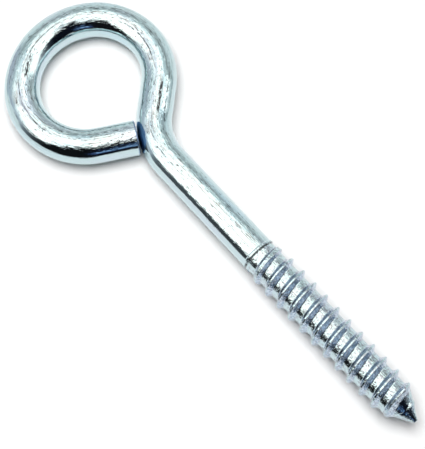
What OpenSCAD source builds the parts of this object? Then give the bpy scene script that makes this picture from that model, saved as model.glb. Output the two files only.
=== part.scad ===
// Screw eye bolt with a lag thread, bent and rolled from one round steel rod.
// The rod lies flat: +Z is up, +X runs along the shank to the point, and the origin
// is on the shank's axis, abreast of the middle of the eye. Sizes are in millimetres.

/* [Rod] */
// Diameter of the round steel rod
rod_d = 9.525; // [8:0.005:11]
// Bevel around the square-cut free end
cut_bevel = 0.4; // [0.1:0.05:1]

/* [Eye] */
// Centreline radius of the two sides of the eye
side_r = 17.2; // [16:0.1:19]
// Centreline radius of the crown, the far end of the eye
crown_r = 20.2; // [18:0.1:23]
// Turn of the side that starts at the neck, in degrees
side_turn = 112; // [106:1:118]
// Turn of the crown, in degrees
crown_turn = 76; // [66:1:86]
// Gap between the free end and the outside of the neck bend
tail_gap = 0.15; // [0.1:0.05:2]

/* [Neck] */
// Centreline radius of the bend that brings the shank in line with the eye
neck_r = 17.2; // [15:0.1:20]
// Turn of that bend, in degrees
neck_turn = 48; // [44:1:52]
// Straight run between the neck bend and the eye
neck_run_l = 9; // [6:0.1:11]

/* [Shank] */
// Plain length from the neck bend to the lip where the rolled thread starts
shank_l = 33.9; // [10:0.1:80]

/* [Thread] */
// Length from that lip to the shoulder of the point
thread_l = 52.2; // [30:0.1:120]
// Length of the lip that the rolling dies raise at the start of the thread
lip_l = 1; // [0.5:0.05:1.5]
// Height of that lip above the plain rod
lip_rise = 0.15; // [0.05:0.01:0.3]
// Angle round the rod at which the first turn starts, in degrees
start_angle = 184; // [0:1:359]
// Distance between neighbouring crests
thread_pitch = 4.325; // [3.6:0.005:6]
// Height of the crest above the plain rod
crest_rise = 1.05; // [0.6:0.01:1.4]
// Depth of the root below the plain rod
root_sink = 0.2; // [0.05:0.01:0.5]
// Width of the crest's flat top
crest_w = 0.3; // [0.2:0.05:0.8]
// Reach of the ridge's foot from the middle of the crest, on the side of the eye
back_w = 0.85; // [0.7:0.05:1.5]
// Reach of the ridge's foot from the middle of the crest, on the side of the point
lead_w = 1.1; // [0.9:0.05:1.6]
// Length over which the first turns rise to full height
run_in_l = 8.5; // [4:0.1:12]
// Length over which the last turns fade away on the point
run_out_l = 11; // [6:0.1:14]

/* [Point] */
// Length of the point, from its shoulder to its blunt tip
point_l = 6.7; // [4:0.1:12]
// Diameter of the blunt tip
tip_d = 1.1; // [0.6:0.05:3]

/* [Hidden] */

$fn = 96;
zinc = "#c9cfd6";
rod_r = rod_d / 2;

// A unit vector at a heading in the plane of the eye
function dir(a) = [cos(a), sin(a)];

// The rod's centreline, walked from the start of the shank back to the free end.
// Each heading is the way the walk goes, measured from +X about +Z.
neck_c = [0, neck_r];
neck_end = neck_c - neck_r * dir(90 - neck_turn);
neck_head = 180 - neck_turn;
side_start = neck_end + neck_run_l * dir(neck_head);
near_c = side_start + side_r * dir(neck_head + 90);
crown_head = neck_head + side_turn;
crown_c = near_c + (crown_r - side_r) * dir(crown_head + 90);
far_head = crown_head + crown_turn;
far_c = crown_c + (side_r - crown_r) * dir(far_head + 90);

// The far side turns until the tail points straight at the middle of the neck bend
to_neck = neck_c - far_c;
tail_head = atan2(to_neck[1], to_neck[0]) + asin(side_r / norm(to_neck));
far_turn = tail_head + 360 - far_head;
tail_start = far_c + side_r * dir(tail_head - 90);
tail_l = sqrt(to_neck * to_neck - side_r * side_r) - neck_r - rod_r - tail_gap;

// The middle of the eye, abreast of which the origin lies on the shank's axis
eye_x = crown_c[0];

// The thread's stations along the shank, measured from the start of the shank
root_r = rod_r - root_sink;
ridge_h = crest_rise + root_sink;
shoulder_x = shank_l + thread_l;
tip_x = shoulder_x + point_l;

// The ridge's section along the shank: place from the crest's middle, share of its height.
// Each flank is nearly straight and eases out into the root.
flank_curve = 1.05;
flank_places = [1, 2 / 3, 1 / 3, 0];
function flank(foot, t) = [
    sign(foot) * (crest_w / 2 + t * (abs(foot) - crest_w / 2)),
    pow(1 - t, flank_curve),
];
SECTION = concat(
    [for (t = flank_places) flank(-back_w, t)],
    [for (i = [3 : -1 : 0]) flank(lead_w, flank_places[i])]
);

// The helix: its steps to the turn, its first crest, and the turns that fit on the rod.
// The first turn comes out from under the lip, so its rows start at least a row gap apart there.
steps = 32;
end_land = 0.1;
row_gap = 0.03;
marks = len(SECTION);
lip_end = shank_l + lip_l;
first_crest = lip_end + end_land;
turns = floor((tip_x - first_crest - lead_w - end_land) / thread_pitch);
last_foot = first_crest + turns * thread_pitch + lead_w;

// The first turns are flat on top until the ridge reaches its full height, and the last ones
// fade. The root sinks below the plain rod as the ridge rises, and tapers on the point.
lip_sink = 0.4;
function clamped(t) = min(1, max(0, t));
function eased(t) = let (c = clamped(t)) c * (2 - c);
function smooth(t) = let (c = clamped(t)) c * c * (3 - 2 * c);
function run_in(x) = eased((x - lip_end) / run_in_l);
function run_out(x) = smooth((last_foot - x) / run_out_l);
function cone_r(x) = root_r + (tip_d / 2 - root_r) * (x - shoulder_x) / point_l;
function sink(x) = root_sink * (lip_sink + (1 - lip_sink) * run_in(x));
function root_at(x) = min(rod_r - sink(x), cone_r(x));
function rise_at(x, share) = ridge_h * min(share, run_in(x)) * run_out(x);

// The lip at the start of the thread, as the place and the radius of its rings
LIP = [
    [shank_l, rod_r],
    [shank_l + lip_l * 0.35, rod_r + lip_rise],
    [shank_l + lip_l * 0.8, rod_r + lip_rise],
    [lip_end, root_at(lip_end)],
];

// The thread's surface is a grid of points: step a goes round the rod, right-handed from
// +Y to +Z, and row j goes along it. The first rows are the rings of the lip, the last row is
// the ring round the tip, and the rows between are the marks of the ridge's section, turn
// after turn.
first_row = len(LIP);
last_row = first_row + marks * turns;
tip_fan_row = last_row - marks - 1;
function ring_point(x, r, a) =
    let (angle = start_angle + 360 * a / steps) [x, r * cos(angle), r * sin(angle)];
function ridge_x(a, m, turn) = max(
    lip_end + row_gap * (m + 1),
    first_crest + thread_pitch * (turn + a / steps) + SECTION[m][0]
);
function ridge_point(a, m, turn) =
    let (x = ridge_x(a, m, turn))
    ring_point(x, root_at(x) + rise_at(x, SECTION[m][1]), a);
function grid_point(a, j) =
    j < first_row ? ring_point(LIP[j][0], LIP[j][1], a)
    : j == last_row ? ring_point(tip_x, tip_d / 2, a)
    : ridge_point(a, (j - first_row) % marks, floor((j - first_row) / marks));

// The place of a grid point in the list, and the two triangles between four of them
function at(a, j) = j * steps + a;
function patch(low, low_next, high, high_next) =
    [[low, low_next, high], [high, low_next, high_next]];

// All round the rod but for the last step, each row joins the next
function sleeve_faces() = [
    for (j = [0 : last_row - 1]) for (a = [0 : steps - 2])
        each patch(at(a, j), at(a, j + 1), at(a + 1, j), at(a + 1, j + 1))
];
// Over the last step a ring of the lip joins the next ring, and a row of the ridge joins the
// row of the next turn, which is one pitch further on
function lip_faces() = [
    for (j = [0 : first_row - 2])
        each patch(at(steps - 1, j), at(steps - 1, j + 1), at(0, j), at(0, j + 1))
];
function seam_faces() = [
    for (j = [first_row : tip_fan_row - 1])
        each patch(at(steps - 1, j), at(steps - 1, j + 1), at(0, j + marks), at(0, j + marks + 1))
];
// At both ends of the seam a fan fills the step of one pitch up to the ring
function start_fan() = let (ring = at(steps - 1, first_row - 1)) concat(
    [for (j = [first_row - 1 : first_row + marks - 1]) [ring, at(0, j + 1), at(0, j)]],
    [[ring, at(steps - 1, first_row), at(0, first_row + marks)]]
);
function tip_fan() = concat(
    [for (j = [tip_fan_row : last_row - 1]) [at(steps - 1, j), at(steps - 1, j + 1), at(0, last_row)]],
    [[at(steps - 1, tip_fan_row), at(0, last_row), at(0, last_row - 1)]]
);
function cap_faces() = [
    [for (a = [0 : steps - 1]) at(a, 0)],
    [for (a = [steps - 1 : -1 : 0]) at(a, last_row)],
];

// Puts what is drawn from the start of the shank into the frame of the whole bolt
module placed() {
    translate([-eye_x, 0])
        children();
}

// A bent stretch of the rod, round a centre in the plane of the eye
module rod_arc(centre, r, from, turn) {
    translate(centre)
        rotate(from)
            rotate_extrude(angle = turn)
                translate([r, 0])
                    circle(r = rod_r);
}

// Lays what is drawn along +Z out along a heading in the plane of the eye
module along(start, heading) {
    translate(start)
        rotate(heading)
            rotate([0, 90, 0])
                children();
}

// The straight free end, cut square with its edge bevelled
module eye_tail() {
    color(zinc)
        placed()
            along(tail_start, tail_head)
                rotate_extrude()
                    polygon([
                        [0, 0],
                        [rod_r, 0],
                        [rod_r, tail_l - cut_bevel],
                        [rod_r - cut_bevel, tail_l],
                        [0, tail_l],
                    ]);
}

// The side of the eye that runs into the free end
module eye_far_side() {
    color(zinc)
        placed()
            rod_arc(far_c, side_r, far_head - 90, far_turn);
}

// The crown, bent a little flatter than the sides
module eye_crown() {
    color(zinc)
        placed()
            rod_arc(crown_c, crown_r, crown_head - 90, crown_turn);
}

// The side of the eye that starts at the neck
module eye_near_side() {
    color(zinc)
        placed()
            rod_arc(near_c, side_r, neck_head - 90, side_turn);
}

// The straight run between the eye and the neck bend
module neck_run() {
    color(zinc)
        placed()
            along(neck_end, neck_head)
                cylinder(r = rod_r, h = neck_run_l);
}

// The bend back into line with the shank
module neck_bend() {
    color(zinc)
        placed()
            rod_arc(neck_c, neck_r, -90 - neck_turn, neck_turn);
}

// The plain part of the shank
module shank() {
    color(zinc)
        placed()
            along([0, 0], 0)
                cylinder(r = rod_r, h = shank_l);
}

// The rolled right-hand lag thread, from the lip where it starts to its fade on the point
module lag_thread() {
    points = [for (j = [0 : last_row]) for (a = [0 : steps - 1]) grid_point(a, j)];
    faces = concat(
        sleeve_faces(), lip_faces(), seam_faces(), start_fan(), tip_fan(), cap_faces()
    );
    color(zinc)
        placed()
            polyhedron(points, faces);
}

eye_tail();
eye_far_side();
eye_crown();
eye_near_side();
neck_run();
neck_bend();
shank();
lag_thread();
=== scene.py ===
# A screw eye bolt with a lag thread, dressed as bright zinc plate over one bent steel rod.
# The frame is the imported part's: +X runs along the shank to the point, and the eye lies flat
# in X and Y. Lengths are in millimetres until MM turns them into Blender's metres.
import math

import bmesh
import bpy
import numpy as np
from mathutils import Matrix, Vector


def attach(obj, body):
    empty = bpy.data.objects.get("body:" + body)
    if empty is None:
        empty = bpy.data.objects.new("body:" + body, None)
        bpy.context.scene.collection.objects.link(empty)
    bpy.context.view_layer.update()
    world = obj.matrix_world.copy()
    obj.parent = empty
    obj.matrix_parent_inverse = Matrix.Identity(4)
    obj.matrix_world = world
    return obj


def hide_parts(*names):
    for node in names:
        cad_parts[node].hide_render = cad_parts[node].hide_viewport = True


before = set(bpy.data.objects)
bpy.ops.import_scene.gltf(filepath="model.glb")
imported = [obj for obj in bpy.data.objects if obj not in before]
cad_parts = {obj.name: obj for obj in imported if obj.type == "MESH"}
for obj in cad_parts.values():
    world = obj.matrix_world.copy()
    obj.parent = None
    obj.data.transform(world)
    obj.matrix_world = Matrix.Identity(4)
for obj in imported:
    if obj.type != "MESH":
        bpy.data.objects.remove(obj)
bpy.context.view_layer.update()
MM = 0.001

# The rod, as the part's source bends it
ROD_R = 9.525 / 2
SIDE_R = 17.2
CROWN_R = 20.2
SIDE_TURN = 112
CROWN_TURN = 76
NECK_R = 17.2
NECK_TURN = 48
NECK_RUN_L = 9.0
TAIL_GAP = 0.15
SHANK_L = 33.9

# The thread, as the part's source rolls it
THREAD_L = 52.2
LIP_L = 1.0
LIP_RISE = 0.15
START_ANGLE = math.radians(184)
PITCH = 4.325
CREST_RISE = 1.05
ROOT_SINK = 0.2
LIP_SINK = 0.4
CREST_W = 0.3
BACK_W = 0.85
LEAD_W = 1.1
FLANK_CURVE = 1.05
RUN_IN_L = 8.5
RUN_OUT_L = 11.0
POINT_L = 6.7
TIP_D = 1.1
END_LAND = 0.1

# The camera, as the photograph sees the part
CAMERA_TARGET = Vector((49.53, -3.37, 0.0)) * MM
CAMERA_AZIMUTH = math.radians(48.51)
CAMERA_ELEVATION = math.radians(70.21)
CAMERA_DISTANCE = 400 * MM
FOCAL_PX = 1546.4
IMAGE_H = 449
SENSOR = 36.0


def heading(degrees):
    """A unit vector at a heading in the plane of the eye."""
    a = math.radians(degrees)
    return np.array([math.cos(a), math.sin(a)])


class Stretch:
    """A straight or evenly bent length of the rod, walked from the shank back to the free end."""

    def __init__(self, node, start, head, length, radius=0.0):
        self.node = node
        self.start = start
        self.head = head
        self.length = length
        self.radius = radius

    def point(self, along):
        """The centreline's points and headings at distances along the stretch."""
        if self.radius == 0:
            heads = np.full_like(along, self.head)
            return self.start + along[:, None] * heading(self.head), heads
        centre = self.start + self.radius * heading(self.head + 90)
        heads = self.head + np.degrees(along / self.radius)
        turned = np.radians(heads - 90)
        return centre + self.radius * np.stack([np.cos(turned), np.sin(turned)], 1), heads

    def end(self):
        """The stretch's last point and the heading there."""
        points, heads = self.point(np.array([self.length]))
        return points[0], heads[0]


def walk_rod():
    """The stretches from the start of the shank back to the free end of the eye. The far side
    turns until the straight tail points at the neck bend's centre, and the tail stops TAIL_GAP
    short of the rod there."""
    walk = []

    def add(node, length, radius=0.0):
        start, head = walk[-1].end() if walk else (np.zeros(2), 180.0)
        walk.append(Stretch(node, start, head, length, radius))

    add("neck_bend", math.radians(NECK_TURN) * NECK_R, -NECK_R)
    add("neck_run", NECK_RUN_L)
    add("eye_near_side", math.radians(SIDE_TURN) * SIDE_R, SIDE_R)
    add("eye_crown", math.radians(CROWN_TURN) * CROWN_R, CROWN_R)
    start, head = walk[-1].end()
    far_centre = start + SIDE_R * heading(head + 90)
    neck_centre = np.array([0, NECK_R])
    to_neck = neck_centre - far_centre
    reach = np.linalg.norm(to_neck)
    tail_head = math.degrees(math.atan2(to_neck[1], to_neck[0]) + math.asin(SIDE_R / reach))
    add("eye_far_side", math.radians(tail_head + 360 - head) * SIDE_R, SIDE_R)
    add("eye_tail", math.sqrt(reach**2 - SIDE_R**2) - NECK_R - ROD_R - TAIL_GAP)
    return walk


WALK = walk_rod()
CROWN = next(stretch for stretch in WALK if stretch.node == "eye_crown")
EYE_X = (CROWN.start + CROWN_R * heading(CROWN.head + 90))[0]
STRETCH_ENDS = np.cumsum([0.0] + [stretch.length for stretch in WALK])
TAIL_END = -STRETCH_ENDS[-1]
SHOULDER_X = SHANK_L + THREAD_L
TIP_X = SHOULDER_X + POINT_L


def centreline(s):
    """The rod's centre points and forward directions. s runs from the tail to the point,
    and is 0 at the start of the shank."""
    points = np.stack([s, np.zeros_like(s)], 1)
    heads = np.zeros_like(s)
    for stretch, first in zip(WALK, STRETCH_ENDS):
        here = (-s > first) & (s < 0)
        points[here], back = stretch.point(-s[here] - first)
        heads[here] = back - 180
    turned = np.radians(heads)
    return points - [EYE_X, 0], np.stack([np.cos(turned), np.sin(turned)], 1)


def smooth(t):
    """Rises from 0 to 1, level at both ends."""
    c = np.clip(t, 0, 1)
    return c * c * (3 - 2 * c)


def eased(t):
    """Rises at once and levels out."""
    c = np.clip(t, 0, 1)
    return c * (2 - c)


# The drawn rod isn't perfectly true: slow waves of a few micrometres, as
# (depth, wavelength along the rod, waves round it, phase)
WAVES = (
    (0.010, 23.0, 2, 0.4),
    (0.006, 9.7, 1, 2.1),
    (0.004, 6.1, 3, 4.0),
    (0.003, 3.9, 2, 1.3),
)


def drawn_radius(s, theta):
    """The rod's radius where it is as drawn, kept inside the true rod."""
    r = np.full(np.broadcast(s, theta).shape, ROD_R - sum(w[0] for w in WAVES))
    for depth, length, round_it, phase in WAVES:
        r += depth * np.sin(2 * math.pi * s / length + round_it * theta + phase)
    return r


# The ridge of the thread
ROOT_R = ROD_R - ROOT_SINK
CREST_WORN = 0.015
RIDGE_H = CREST_RISE + ROOT_SINK - CREST_WORN
LIP_END = SHANK_L + LIP_L
FIRST_CREST = LIP_END + END_LAND
TURNS = math.floor((TIP_X - FIRST_CREST - LEAD_W - END_LAND) / PITCH)
LAST_FOOT = FIRST_CREST + TURNS * PITCH + LEAD_W
CREST_ROUND = 0.06
RIDGE_BEGIN_L = 0.3
# The shares of the lip's length in which it rises and falls
LIP_UP_SHARE = 0.35
LIP_DOWN_SHARE = 0.2


def ridge_share(offset):
    """The share of the ridge's height at an offset from the crest's middle."""
    reach = np.where(offset < 0, BACK_W, LEAD_W)
    out = np.sqrt(offset**2 + CREST_ROUND**2) - CREST_ROUND
    t = np.clip((out - CREST_W / 2) / (reach - CREST_W / 2), 0, 1)
    return (1 - t) ** FLANK_CURVE


def rolled_radius(s, theta):
    """The radius over the lip, the thread and the point."""
    run_in = eased((s - LIP_END) / RUN_IN_L)
    run_out = smooth((LAST_FOOT - s) / RUN_OUT_L)
    cone = ROOT_R + (TIP_D / 2 - ROOT_R) * (s - SHOULDER_X) / POINT_L
    sink = ROOT_SINK * (LIP_SINK + (1 - LIP_SINK) * run_in)
    root = np.minimum(drawn_radius(s, theta) - sink, cone)
    turn = (s - FIRST_CREST) / PITCH - (theta - START_ANGLE) / (2 * math.pi)
    offset = (turn - np.round(turn)) * PITCH
    begun = smooth((s - offset - FIRST_CREST) / RIDGE_BEGIN_L + 1)
    ridge = root + RIDGE_H * np.minimum(ridge_share(offset), run_in) * run_out * begun
    lip_t = (s - SHANK_L) / LIP_L
    lip_up = smooth(lip_t / LIP_UP_SHARE)
    lip_down = smooth((lip_t - 1) / LIP_DOWN_SHARE + 1)
    plain = drawn_radius(s, theta)
    lip = plain + LIP_RISE * lip_up - (LIP_RISE + LIP_SINK * ROOT_SINK) * lip_down
    return np.where(s < LIP_END, lip, ridge)


def rod_surface(s, theta, radius):
    """Points of the rod's skin, for arrays of s and theta of one length."""
    centre, forward = centreline(s)
    r = radius(s, theta)
    side = np.stack([-forward[:, 1], forward[:, 0]], 1)
    flat = centre + side * (r * np.cos(theta))[:, None]
    return np.column_stack([flat, r * np.sin(theta)])


def rod_normals(s, theta, radius):
    """The true normals of the rod's skin, from small steps along it and round it."""
    step_s = 0.01
    step_a = 0.002
    along = rod_surface(s + step_s, theta, radius) - rod_surface(s - step_s, theta, radius)
    round_it = rod_surface(s, theta + step_a, radius) - rod_surface(s, theta - step_a, radius)
    normals = np.cross(round_it, along)
    return normals / np.linalg.norm(normals, axis=1)[:, None]


def straightened(s, theta, radius):
    """The same points on the rod before it was bent, for the grain of the material."""
    r = radius(s, theta)
    return np.column_stack([s, r * np.cos(theta), r * np.sin(theta)])


def steepness(s, theta, radius):
    """How fast the skin rises or falls along the rod."""
    step_s = 0.02
    return np.abs(radius(s + step_s, theta) - radius(s - step_s, theta)) / (2 * step_s)


MERGE_WITHIN = 0.00001 * MM


def rod_piece(node, columns, radius, steps):
    """A closed mesh over a node. columns has, for each of the steps + 1 angles round the rod,
    the places along it; places that coincide are merged, so rows may run together at an end."""
    theta = np.repeat(np.linspace(0, 2 * math.pi, steps + 1), columns.shape[1])
    s = columns.ravel()
    rows = columns.shape[1]
    points = rod_surface(s, theta, radius) * MM
    normals = rod_normals(s, theta, radius)
    grain = straightened(s, theta, radius)
    steep = steepness(s, theta, radius)

    bm = bmesh.new()
    grain_layer = bm.verts.layers.float_vector.new("grain")
    normal_layer = bm.verts.layers.float_vector.new("skin_normal")
    steep_layer = bm.verts.layers.float.new("steep")
    verts = []
    for point, normal, place, slope in zip(points, normals, grain, steep):
        vert = bm.verts.new(point)
        vert[grain_layer] = place
        vert[steep_layer] = slope
        vert[normal_layer] = normal
        verts.append(vert)
    for a in range(steps):
        for j in range(rows - 1):
            k = a * rows + j
            bm.faces.new((verts[k], verts[k + 1], verts[k + rows + 1], verts[k + rows]))
    bmesh.ops.remove_doubles(bm, verts=bm.verts, dist=MERGE_WITHIN)
    rims = [edge for edge in bm.edges if edge.is_boundary]
    caps = bmesh.ops.holes_fill(bm, edges=rims, sides=0)["faces"]
    bmesh.ops.recalc_face_normals(bm, faces=bm.faces)

    mesh = bpy.data.meshes.new(node + "_skin")
    bm.faces.index_update()
    cap_set = {face.index for face in caps}
    vert_normals = [Vector(vert[normal_layer]) for vert in bm.verts]
    bm.to_mesh(mesh)
    bm.free()
    loop_normals = []
    for polygon in mesh.polygons:
        polygon.use_smooth = True
        for loop in polygon.loop_indices:
            if polygon.index in cap_set:
                loop_normals.append(polygon.normal.copy())
            else:
                loop_normals.append(vert_normals[mesh.loops[loop].vertex_index])
    mesh.normals_split_custom_set(loop_normals)
    piece = bpy.data.objects.new(node + "_skin", mesh)
    bpy.context.scene.collection.objects.link(piece)
    return piece


# The free end is cut square, with its edge rolled over. The edge stops just short of a full
# quarter round.
CUT_BEVEL = 0.4
CUT_QUARTER = 0.98


def cut_radius(s, theta):
    """The radius over the free end."""
    into = np.clip((TAIL_END + CUT_BEVEL - s) / CUT_BEVEL, 0, 1)
    return drawn_radius(s, theta) - CUT_BEVEL * (1 - np.sqrt(1 - CUT_QUARTER * into**2))


def even_columns(first, last, step, steps):
    """Evenly spaced rings from first to last, at most a step apart."""
    places = np.linspace(first, last, max(2, math.ceil((last - first) / step) + 1))
    return np.tile(places, (steps + 1, 1))


# How finely the skin is divided: angles round the rod, and rows along it
ROD_STEPS = 96
ROD_STEP_L = 0.6
CUT_ROWS = 9
THREAD_STEPS = 96
RIDGE_ROWS = 24
LAND_ROWS = 6
LIP_ROWS = 15
# Turns of rows past both ends of the ridge, so that the rows reach the lip and the tip
SPARE_TURNS = (2, 3)


def thread_columns():
    """Places along the thread: rings over the lip, then rows that follow the helix."""
    on_ridge = np.linspace(-BACK_W, LEAD_W, RIDGE_ROWS)
    on_land = np.linspace(LEAD_W, PITCH - BACK_W, LAND_ROWS)[1:-1]
    marks = np.concatenate([on_ridge, on_land])
    turns = np.arange(-SPARE_TURNS[0], TURNS + SPARE_TURNS[1] + 1)
    rows = (FIRST_CREST + PITCH * turns[:, None] + marks[None, :]).ravel()
    lead = np.linspace(0, PITCH, THREAD_STEPS + 1) - PITCH * START_ANGLE / (2 * math.pi)
    helix = np.clip(rows[None, :] + lead[:, None], LIP_END, TIP_X)
    rings = np.tile(np.linspace(SHANK_L, LIP_END, LIP_ROWS), (THREAD_STEPS + 1, 1))
    return np.concatenate([rings, helix], 1)


def build_pieces():
    """The skins of all the pieces, by node."""
    pieces = {}
    for stretch, first in zip(WALK, STRETCH_ENDS):
        last_s = -first
        first_s = -first - stretch.length
        if stretch.node == "eye_tail":
            edge = TAIL_END + CUT_BEVEL * (1 - np.cos(np.linspace(0, math.pi / 2, CUT_ROWS)))
            run = np.linspace(TAIL_END + CUT_BEVEL, last_s, math.ceil(stretch.length / ROD_STEP_L))
            columns = np.tile(np.concatenate([edge[:-1], run]), (ROD_STEPS + 1, 1))
            pieces[stretch.node] = rod_piece(stretch.node, columns, cut_radius, ROD_STEPS)
            continue
        columns = even_columns(first_s, last_s, ROD_STEP_L, ROD_STEPS)
        pieces[stretch.node] = rod_piece(stretch.node, columns, drawn_radius, ROD_STEPS)
    columns = even_columns(0, SHANK_L, ROD_STEP_L, ROD_STEPS)
    pieces["shank"] = rod_piece("shank", columns, drawn_radius, ROD_STEPS)
    pieces["lag_thread"] = rod_piece("lag_thread", thread_columns(), rolled_radius, THREAD_STEPS)
    return pieces


class Nodes:
    """Short calls that add and join shader nodes."""

    def __init__(self, tree):
        self.tree = tree
        tree.nodes.clear()

    def add(self, kind, inputs=None, **settings):
        node = self.tree.nodes.new(kind)
        for name, value in settings.items():
            setattr(node, name, value)
        for name, value in (inputs or {}).items():
            self.put(node.inputs[name], value)
        return node

    def put(self, socket, value):
        if isinstance(value, bpy.types.NodeSocket):
            self.tree.links.new(value, socket)
        else:
            socket.default_value = value

    def math(self, operation, a, b=0.0):
        node = self.add("ShaderNodeMath", operation=operation)
        self.put(node.inputs[0], a)
        self.put(node.inputs[1], b)
        return node.outputs[0]

    def ramp(self, value, stops):
        node = self.add("ShaderNodeValToRGB", {"Fac": value})
        elements = node.color_ramp.elements
        while len(elements) < len(stops):
            elements.new(0.5)
        for element, (place, colour) in zip(elements, stops):
            element.position = place
            element.color = (*colour, 1)
        return node.outputs["Color"]

    def remap(self, value, low, high, to_low, to_high):
        node = self.add("ShaderNodeMapRange", {
            "Value": value, "From Min": low, "From Max": high, "To Min": to_low, "To Max": to_high,
        })
        return node.outputs["Result"]

    def cover(self, under, share, colour):
        """A colour laid over another one where the share is 1."""
        node = self.add("ShaderNodeMix", {"Factor": share}, data_type="RGBA")
        self.put(node.inputs["A"], under)
        self.put(node.inputs["B"], (*colour, 1))
        return node.outputs["Result"]

    def grain(self, place, cycles, detail=2.0):
        """Noise with its own cycles per millimetre along the rod and across it."""
        scaled = self.add("ShaderNodeVectorMath", operation="MULTIPLY")
        self.put(scaled.inputs[0], place)
        self.put(scaled.inputs[1], cycles)
        node = self.add("ShaderNodeTexNoise", {
            "Vector": scaled.outputs["Vector"], "Scale": 1.0, "Detail": detail, "Roughness": 0.5,
        })
        return node.outputs["Fac"]


# Colours of the plating, of the marks on it and of the painted shade and sheen
ZINC_COOL = (0.51, 0.66, 0.72)
ZINC_GREEN = (0.54, 0.68, 0.70)
ZINC_LILAC = (0.57, 0.65, 0.73)
SCRATCH = (0.25, 0.24, 0.23)
SPECK = (0.06, 0.06, 0.06)
SCORE = (0.03, 0.035, 0.04)
# Painted shade in the crease at the foot of the lip
LIP_SHADE = (0.04, 0.05, 0.05)
# Painted dark blue shade on the cut end
CUT_END_SHADE = (0.15, 0.25, 0.45)
# Painted dark blue shade on the thread's steep flanks, and painted pale sheen spots on them
FLANK_SHADE = (0.26, 0.36, 0.48)
FLANK_SHEEN = (0.66, 0.74, 0.82)
# Painted grey shade, mottled over the rolled thread
THREAD_SHADE_GREY = (0.26, 0.25, 0.30)
# The plating's own tints, by the noise at which each is purest
PLATE_TINTS = ((0.3, ZINC_COOL), (0.52, ZINC_GREEN), (0.76, ZINC_LILAC))
# Grains, in cycles per millimetre along the rod and across it
PATCH_GRAIN = (0.06, 0.25, 0.25)
STREAK_GRAIN = (0.12, 4.5, 4.5)
DASH_GRAIN = (0.7, 4.0, 4.0)
DENT_GRAIN = (0.7, 2.2, 2.2)
MOTTLE_GRAIN = (1.3, 1.3, 1.3)
FINE_DETAIL = 3.0
# The upper and lower faces of the rod are the worn ones, by their height from its middle
WORN_FROM = (0.6 * ROD_R, 0.95 * ROD_R)
WORN_LEAST = 0.12
# The noise from which a mark, a painted shade or a painted sheen starts to show and shows in full
SCRATCH_FROM = (0.62, 0.68)
SPECK_FROM = (0.62, 0.67)
SCORE_FROM = (0.42, 0.52)
THREAD_SHADE_FROM = (0.48, 0.64)
FLANK_SHEEN_FROM = (0.46, 0.54)
LIP_SHADE_FROM = (0.38, 0.5)
PIT_FROM = (0.5, 0.72)
DIMPLE_FROM = (0.4, 0.7)
# How much of the colour under them the painted shade over the thread and on its flanks covers
THREAD_SHADE_COVER = 0.55
FLANK_SHADE_COVER = 0.85
FLANK_SHADE_SLOPE = (0.6, 1.0)
# Where the lip crease's painted shade and the cut end's roughness and painted shade fade, in
# millimetres
LIP_SHADE_FADE = (0.15, 0.35)
LIP_SHADE_LEAST = 0.2
CUT_FADE = (0.1, 0.5)
# Depths of the relief, and how the polish changes with the streaks
PIT_SHARE = 0.7
DENT_DEPTH = 0.05 * MM
NICK_DEPTH = 0.012 * MM
DRAWN_DEPTH = 0.006 * MM
POLISH_FROM = (0.3, 0.7)
ROUGHNESS = (0.03, 0.12)
CUT_ROUGHNESS = 0.3
# Scores that the bending tools left, as (place along the rod, half length, angle round it,
# half width in radians). Each fades out over the outer part of its length and of its width.
SCORE_CORE = (0.7, 0.4)
SCORES = (
    (-18.0, 5.5, math.radians(76), 0.11),
    (-79.0, 4.0, math.radians(106), 0.12),
    (-2.0, 6.0, math.radians(104), 0.05),
    (-37.5, 9.0, math.radians(107), 0.05),
    (-17.5, 8.0, math.radians(54), 0.06),
    (-93.0, 9.5, math.radians(84), 0.05),
    (-70.0, 6.0, math.radians(96), 0.04),
)


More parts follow.
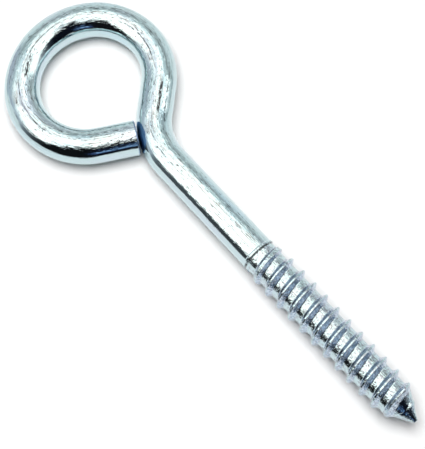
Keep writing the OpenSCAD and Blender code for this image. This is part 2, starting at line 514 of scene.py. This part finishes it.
def zinc_material():
    """Bright zinc plate, marked by drawing, bending, cutting and rolling, with painted shade and
    sheen.
    """
    material = bpy.data.materials.new("bright_zinc_plate")
    material.use_nodes = True
    n = Nodes(material.node_tree)
    place = n.add("ShaderNodeAttribute", attribute_name="grain").outputs["Vector"]
    split = n.add("ShaderNodeSeparateXYZ", {"Vector": place})
    along_rod = split.outputs["X"]
    angle = n.math("ARCTAN2", split.outputs["Z"], split.outputs["Y"])
    worn = n.remap(n.math("ABSOLUTE", split.outputs["Z"]), *WORN_FROM, WORN_LEAST, 1.0)
    rolled = n.remap(along_rod, SHANK_L, LIP_END, 0.0, 1.0)
    cut = n.remap(along_rod, TAIL_END + CUT_FADE[0], TAIL_END + CUT_FADE[1], 1.0, 0.0)
    patches = n.grain(place, PATCH_GRAIN, FINE_DETAIL)
    streaks = n.grain(place, STREAK_GRAIN)
    dashes = n.grain(place, DASH_GRAIN)
    dents = n.grain(place, DENT_GRAIN)
    mottle = n.grain(place, MOTTLE_GRAIN, FINE_DETAIL)

    # The plating, with the scratches, specks and scores of the drawn rod
    plate = n.ramp(patches, PLATE_TINTS)
    scratches = n.math("MULTIPLY", n.remap(streaks, *SCRATCH_FROM, 0.0, 1.0), worn)
    specks = n.math("MULTIPLY", n.remap(dashes, *SPECK_FROM, 0.0, 1.0), worn)
    colour = n.cover(n.cover(plate, scratches, SCRATCH), specks, SPECK)
    broken = n.remap(dashes, *SCORE_FROM, 0.0, 1.0)
    for along, half_l, round_it, half_w in SCORES:
        off_end = n.math("ABSOLUTE", n.math("SUBTRACT", along_rod, along))
        off_line = n.math("ABSOLUTE", n.math("SUBTRACT", angle, round_it))
        near = n.math("MULTIPLY", n.remap(off_end, SCORE_CORE[0] * half_l, half_l, 1.0, 0.0),
                      n.remap(off_line, SCORE_CORE[1] * half_w, half_w, 1.0, 0.0))
        colour = n.cover(colour, n.math("MULTIPLY", near, broken), SCORE)

    # The rolled turns, the crease at the lip and the cut end, with painted shade and sheen
    # Painted shade, mottled in grey over the rolled thread
    thread_shade = n.math("MULTIPLY", n.remap(mottle, *THREAD_SHADE_FROM, 0.0, THREAD_SHADE_COVER), rolled)
    slope = n.add("ShaderNodeAttribute", attribute_name="steep").outputs["Fac"]
    # Painted shade on the thread's steep flanks, with spots of painted pale sheen over it
    flank_shade = n.math("MULTIPLY", n.remap(slope, *FLANK_SHADE_SLOPE, 0.0, FLANK_SHADE_COVER), rolled)
    flank_sheen = n.math("MULTIPLY", n.remap(dents, *FLANK_SHEEN_FROM, 0.0, 1.0), flank_shade)
    colour = n.cover(n.cover(colour, flank_shade, FLANK_SHADE), flank_sheen, FLANK_SHEEN)
    colour = n.cover(colour, thread_shade, THREAD_SHADE_GREY)
    # Painted shade along the crease at the foot of the lip
    off_lip = n.math("ABSOLUTE", n.math("SUBTRACT", along_rod, LIP_END))
    lip_shade = n.math("MULTIPLY", n.remap(off_lip, *LIP_SHADE_FADE, 1.0, 0.0),
                    n.remap(dashes, *LIP_SHADE_FROM, LIP_SHADE_LEAST, 1.0))
    # Painted shade in the lip's crease, then a painted dark blue shade on the cut end
    colour = n.cover(n.cover(colour, lip_shade, LIP_SHADE), cut, CUT_END_SHADE)

    # The relief, from the deepest marks to the finest
    pits = n.math("MULTIPLY", n.remap(dents, *PIT_FROM, 0.0, PIT_SHARE), worn)
    dimples = n.math("MULTIPLY", n.remap(mottle, *DIMPLE_FROM, 0.0, 1.0), rolled)
    dented = n.add("ShaderNodeBump", {
        "Height": n.math("ADD", pits, dimples), "Distance": DENT_DEPTH, "Strength": 1.0,
    })
    nicked = n.add("ShaderNodeBump", {
        "Height": n.math("MULTIPLY", dashes, worn), "Distance": NICK_DEPTH, "Strength": 1.0,
        "Normal": dented.outputs["Normal"],
    })
    drawn = n.add("ShaderNodeBump", {
        "Height": streaks, "Distance": DRAWN_DEPTH, "Strength": 1.0,
        "Normal": nicked.outputs["Normal"],
    })
    polish = n.remap(streaks, *POLISH_FROM, *ROUGHNESS)
    shader = n.add("ShaderNodeBsdfPrincipled", {
        "Base Color": colour, "Metallic": 1.0, "Normal": drawn.outputs["Normal"],
        "Roughness": n.math("ADD", polish, n.math("MULTIPLY", cut, CUT_ROUGHNESS)),
    })
    output = n.add("ShaderNodeOutputMaterial")
    n.put(output.inputs["Surface"], shader.outputs["BSDF"])
    return material


def seen_directly(n):
    """1 for rays that show the background itself, in view, in gloss and through glass."""
    path = n.add("ShaderNodeLightPath")
    seen = n.math("MAXIMUM", path.outputs["Is Camera Ray"], path.outputs["Is Glossy Ray"])
    return n.math("MAXIMUM", seen, path.outputs["Is Transmission Ray"])


# The floor touches the rod under the crown and under the first full crest of the thread. The
# plating mirrors only its near part, an oval round the part; past that it mirrors the room.
# Away from the part the painted floor fades into plain white.
FLOOR_REST_S = FIRST_CREST + 2 * PITCH
FLOOR_R = 3000
FLOOR_NEAR = (105, 45)
FLOOR_STEPS = 64
FLOOR_PAINT = (0.9, 0.9, 0.9, 1)
FLOOR_FADE = (75 * MM, 200 * MM)
WHITE = (1, 1, 1, 1)
WORLD_FILL = 0.14
LAMP_PLACE = (-10, -46, 700)
LAMP_SIZE = 570
LAMP_POWER = 6.0


def floor_material():
    """White paint that keeps the shadow near the part and glows plain white away from it."""
    material = bpy.data.materials.new("white_floor")
    material.use_nodes = True
    n = Nodes(material.node_tree)
    spot = n.add("ShaderNodeTexCoord").outputs["Object"]
    away = n.add("ShaderNodeVectorMath", {"Vector": spot}, operation="LENGTH").outputs["Value"]
    glow = n.remap(away, *FLOOR_FADE, 0.0, 1.0)
    mix = n.add("ShaderNodeMixShader", {"Fac": n.math("MULTIPLY", seen_directly(n), glow)})
    paint = n.add("ShaderNodeBsdfDiffuse", {"Color": FLOOR_PAINT})
    light = n.add("ShaderNodeEmission", {"Color": WHITE, "Strength": 1.0})
    n.put(mix.inputs[1], paint.outputs["BSDF"])
    n.put(mix.inputs[2], light.outputs["Emission"])
    output = n.add("ShaderNodeOutputMaterial")
    n.put(output.inputs["Surface"], mix.outputs["Shader"])
    return material


def build_floor():
    """The near oval and the apron round it, tilted so that the part rests on them."""
    round_it = np.linspace(0, 2 * math.pi, FLOOR_STEPS, endpoint=False)
    ring = np.column_stack([np.cos(round_it), np.sin(round_it), np.zeros(FLOOR_STEPS)])
    oval = ring * [*FLOOR_NEAR, 0] * MM
    far = ring * FLOOR_R * MM
    count = FLOOR_STEPS
    apron = [(i, count + i, count + (i + 1) % count, (i + 1) % count) for i in range(count)]
    tilt = math.atan2(CREST_RISE, FLOOR_REST_S - EYE_X + CROWN_R)
    middle = CAMERA_TARGET.x
    material = floor_material()
    meshes = {
        "floor_near": (oval, [tuple(range(count))]),
        "floor_far": (np.concatenate([oval, far]), apron),
    }
    for name, (verts, faces) in meshes.items():
        mesh = bpy.data.meshes.new(name)
        mesh.from_pydata(verts.tolist(), [], faces)
        mesh.materials.append(material)
        floor = bpy.data.objects.new(name, mesh)
        bpy.context.scene.collection.objects.link(floor)
        floor.rotation_euler = (0, tilt, 0)
        floor.location = (middle, 0, -ROD_R * MM - (middle + CROWN_R * MM) * math.tan(tilt))
        floor.visible_glossy = name == "floor_near"


def build_world():
    """White where it is seen, and a weak even light where it isn't."""
    world = bpy.data.worlds.new("studio")
    bpy.context.scene.world = world
    world.use_nodes = True
    n = Nodes(world.node_tree)
    white = n.add("ShaderNodeBackground", {"Color": WHITE, "Strength": 1.0})
    soft = n.add("ShaderNodeBackground", {"Color": WHITE, "Strength": WORLD_FILL})
    mix = n.add("ShaderNodeMixShader", {"Fac": seen_directly(n)})
    n.put(mix.inputs[1], soft.outputs["Background"])
    n.put(mix.inputs[2], white.outputs["Background"])
    output = n.add("ShaderNodeOutputWorld")
    n.put(output.inputs["Surface"], mix.outputs["Shader"])


# What the plating mirrors: a white tent over the table, the grey room behind it, and the dark
# side that the camera looks out from. Angles are in degrees, round from the camera's side and
# up from the horizon, and each pair of a list is (angle round, value there).
TENT = (2.35, 1.95, 1.84)
ROOM_LEVEL = 1.06
# The dark side: how high it reaches, over how many degrees it fades there, where it starts
# and how bright it is
DARK_TOP = (
    (-145, -60), (-131, 36), (-124, 38), (-112, 34), (-98, 29), (-83, 26), (-70, 21), (-60, 22),
    (-50, 28), (-38, 42), (-33, 51), (-24, 62), (22, 61), (27, 66), (31, 79), (46, 80), (53, 75),
    (57, 64), (62, 56), (72, 42), (82, 30), (92, 17), (102, 0), (108, -30),
)
DARK_FADE = (
    (-120, 36), (-84, 32), (-68, 12), (-52, 8), (-40, 14), (-24, 20), (10, 18), (20, 12), (28, 5),
    (54, 6), (62, 10), (72, 14), (84, 24), (104, 20),
)
DARK_LOW = (
    (-114, -60), (-104, -2), (-92, 4), (-83, 4), (-76, -10), (-60, -12), (-55, -8), (8, -9),
    (18, -1), (36, 9), (46, 1), (60, -3), (66, 2), (72, -20), (80, -60),
)
DARK_LEVEL = (
    (-118, 0.58), (-104, 0.62), (-92, 0.62), (-80, 0.5), (-74, 0.3), (-66, 0.14), (-58, 0.06),
    (-47, 0.008), (60, 0.007), (68, 0.03), (76, 0.15), (83, 0.32), (91, 0.55), (102, 0.75),
)
DARK_LOW_FADE = 4
# Its tint is bluer between these angles
DARK_BLUE = (0.7, 0.9, 1.6)
DARK_BLUE_FROM = (0, 66)
DARK_BLUE_FADE = 20
DARK_TINT = (0.95, 1.0, 1.1)
# The room's wall: how high it reaches, and its light by the angle below its top
WALL_TOP = (
    (-180, 60), (-150, 60), (-140, 56), (-125, 46), (-116, 36), (-108, -40), (102, -40), (105, 5),
    (110, 25), (115, 42), (121, 52), (130, 56), (160, 56), (180, 60),
)
WALL_LIGHT = (
    (0, 2.2), (3, 1.2), (8, 0.95), (14, 0.72), (20, 0.54), (25, 0.48), (32, 0.5), (38, 0.62),
    (44, 0.86), (54, 0.98), (72, 0.92),
)
WALL_TINT = (0.94, 1.0, 1.0)
# The tent is greyer near the table
LOW_UP = 12
LOW_FADE = 12
LOW_GREY = (0.92, 0.92, 0.92)
# Softly lit patches, as (angles of the middle, half sizes, fade, light)
PATCHES = (
    ((-135, 61), (22, 7), 12, (1.05, 1.05, 1.1)),
    ((62, 73), (20, 5), 8, (0.75, 0.78, 0.80)),
)
# Blue glints in the dark side, given the same way
GLINTS = (
    ((8, 17), (7, 5), 5, (0.05, 0.08, 0.19)),
    ((22, 24), (7, 8), 6, (0.06, 0.10, 0.20)),
    ((14, 20), (8, 2.5), 4, (0.42, 0.62, 1.0)),
)
# Seams in the tent: a straight one across its back, placed by its run back for each rise, and
# one that climbs on the right
SEAM_COLOUR = (0, 0, 0)
SEAM_BACK = 0.36
SEAM_HALF = 0.08
SEAM_SOFT = 0.03
SEAM_SHARE = 0.6
LEAST_RISE = 0.01
SEAM_LINE = ((104, 46), (112, 52), (127, 57), (142, 63), (157, 69), (165, 73))
SEAM_LINE_HALF = 3
SEAM_LINE_SOFT = 2
SEAM_LINE_FADE = 8
SEAM_LINE_SHARE = 0.75
# The dome that carries the room's light
DOME_R = 600 * MM
DOME_LOW = -35
DOME_STEP_ROUND = 2
DOME_STEP_UP = 1


def spread(azimuth, pairs):
    """The values of a list of (angle round, value) at the azimuths."""
    return np.interp(azimuth, *zip(*pairs))


def within(value, low, high, soft):
    """1 between low and high, with edges that fade over soft."""
    return smooth((value - low) / soft + 0.5) * smooth((high - value) / soft + 0.5)


def room_light(azimuth, elevation):
    """The light that reaches the part from the room, for arrays of directions."""
    light = np.tile(np.array(TENT), (len(azimuth), 1))

    def cover(share, colour):
        light[:] += (np.array(colour) - light) * share[:, None]

    def around(middle, half, soft):
        return (within(azimuth, middle[0] - half[0], middle[0] + half[0], soft)
                * within(elevation, middle[1] - half[1], middle[1] + half[1], soft))

    up = np.sin(np.radians(elevation))
    back = -np.cos(np.radians(elevation)) * np.cos(np.radians(azimuth))
    run_back = back / np.maximum(up, LEAST_RISE)
    seam = within(run_back, SEAM_BACK - SEAM_HALF, SEAM_BACK + SEAM_HALF, SEAM_SOFT)
    cover(SEAM_SHARE * seam * (up > 0) * (azimuth < 0), SEAM_COLOUR)
    off_line = elevation - spread(azimuth, SEAM_LINE)
    seam = within(off_line, -SEAM_LINE_HALF, SEAM_LINE_HALF, SEAM_LINE_SOFT)
    run = within(azimuth, SEAM_LINE[0][0], SEAM_LINE[-1][0], SEAM_LINE_FADE)
    cover(SEAM_LINE_SHARE * seam * run, SEAM_COLOUR)
    for middle, half, fade, level in PATCHES:
        cover(around(middle, half, fade), level)
    cover(within(elevation, -90, LOW_UP, LOW_FADE), LOW_GREY)
    wall = np.interp(spread(azimuth, WALL_TOP) - elevation, *zip(*WALL_LIGHT))[:, None]
    light[:] = np.minimum(light, wall * WALL_TINT)
    below_top = smooth((spread(azimuth, DARK_TOP) - elevation) / spread(azimuth, DARK_FADE) + 0.5)
    above_low = smooth((elevation - spread(azimuth, DARK_LOW)) / DARK_LOW_FADE + 0.5)
    bluer = within(azimuth, *DARK_BLUE_FROM, DARK_BLUE_FADE)[:, None]
    tint = DARK_TINT + (np.array(DARK_BLUE) - DARK_TINT) * bluer
    cover(below_top * above_low, spread(azimuth, DARK_LEVEL)[:, None] * tint)
    for middle, half, fade, level in GLINTS:
        cover(around(middle, half, fade), level)
    return light * ROOM_LEVEL


def build_room():
    """The dome round the part, which only the plating mirrors."""
    azimuths = np.arange(-180, 180, DOME_STEP_ROUND)
    elevations = np.arange(DOME_LOW, 90 + DOME_STEP_UP / 2, DOME_STEP_UP)
    round_it, up = [grid.ravel() for grid in np.meshgrid(azimuths, elevations)]
    bearing = CAMERA_AZIMUTH - math.pi / 2 + np.radians(round_it)
    level = np.cos(np.radians(up))
    verts = np.column_stack([np.cos(bearing) * level, np.sin(bearing) * level, np.sin(np.radians(up))])
    count = len(azimuths)
    faces = []
    for j in range(len(elevations) - 1):
        for i in range(count):
            k = (i + 1) % count
            faces.append((j * count + i, j * count + k, (j + 1) * count + k, (j + 1) * count + i))
    mesh = bpy.data.meshes.new("studio_room")
    mesh.from_pydata((verts * DOME_R).tolist(), [], faces)
    shade = mesh.attributes.new("shade", "FLOAT_COLOR", "POINT")
    colours = np.column_stack([room_light(round_it, up), np.ones(len(up))])
    shade.data.foreach_set("color", colours.ravel())
    room = bpy.data.objects.new("studio_room", mesh)
    bpy.context.scene.collection.objects.link(room)
    room.visible_camera = False
    room.visible_diffuse = False
    room.visible_shadow = False
    room.visible_transmission = False
    material = bpy.data.materials.new("studio_room")
    material.use_nodes = True
    n = Nodes(material.node_tree)
    shade = n.add("ShaderNodeAttribute", attribute_name="shade").outputs["Color"]
    light = n.add("ShaderNodeEmission", {"Color": shade, "Strength": 1.0})
    output = n.add("ShaderNodeOutputMaterial")
    n.put(output.inputs["Surface"], light.outputs["Emission"])
    mesh.materials.append(material)


def build_lamp():
    """The one lamp, which lights the floor and isn't mirrored."""
    lamp = bpy.data.lights.new("overhead", "AREA")
    lamp.shape = "DISK"
    lamp.size = LAMP_SIZE * MM
    lamp.energy = LAMP_POWER
    holder = bpy.data.objects.new("overhead", lamp)
    bpy.context.scene.collection.objects.link(holder)
    holder.location = Vector(LAMP_PLACE) * MM
    holder.rotation_euler = (CAMERA_TARGET - holder.location).to_track_quat("-Z", "Y").to_euler()
    holder.visible_glossy = False


def build_camera():
    """The camera that took the photograph, as fitted to the part's outline."""
    camera = bpy.data.cameras.new("camera")
    camera.sensor_width = SENSOR
    camera.lens = FOCAL_PX * SENSOR / IMAGE_H
    camera.clip_start = 10 * MM
    camera.clip_end = 20
    holder = bpy.data.objects.new("camera", camera)
    bpy.context.scene.collection.objects.link(holder)
    az, el = CAMERA_AZIMUTH, CAMERA_ELEVATION
    forward = Vector((-math.sin(az) * math.cos(el), math.cos(az) * math.cos(el), -math.sin(el)))
    right = Vector((math.cos(az), math.sin(az), 0))
    up = right.cross(forward)
    turn = Matrix((right, up, -forward)).transposed().to_4x4()
    holder.matrix_world = Matrix.Translation(CAMERA_TARGET - forward * CAMERA_DISTANCE) @ turn
    bpy.context.scene.camera = holder


zinc = zinc_material()
for node, piece in build_pieces().items():
    piece.data.materials.append(zinc)
    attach(piece, "root")
    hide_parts(node)

build_floor()
build_world()
build_room()
build_lamp()
build_camera()
bpy.context.scene.view_settings.view_transform = "Standard"
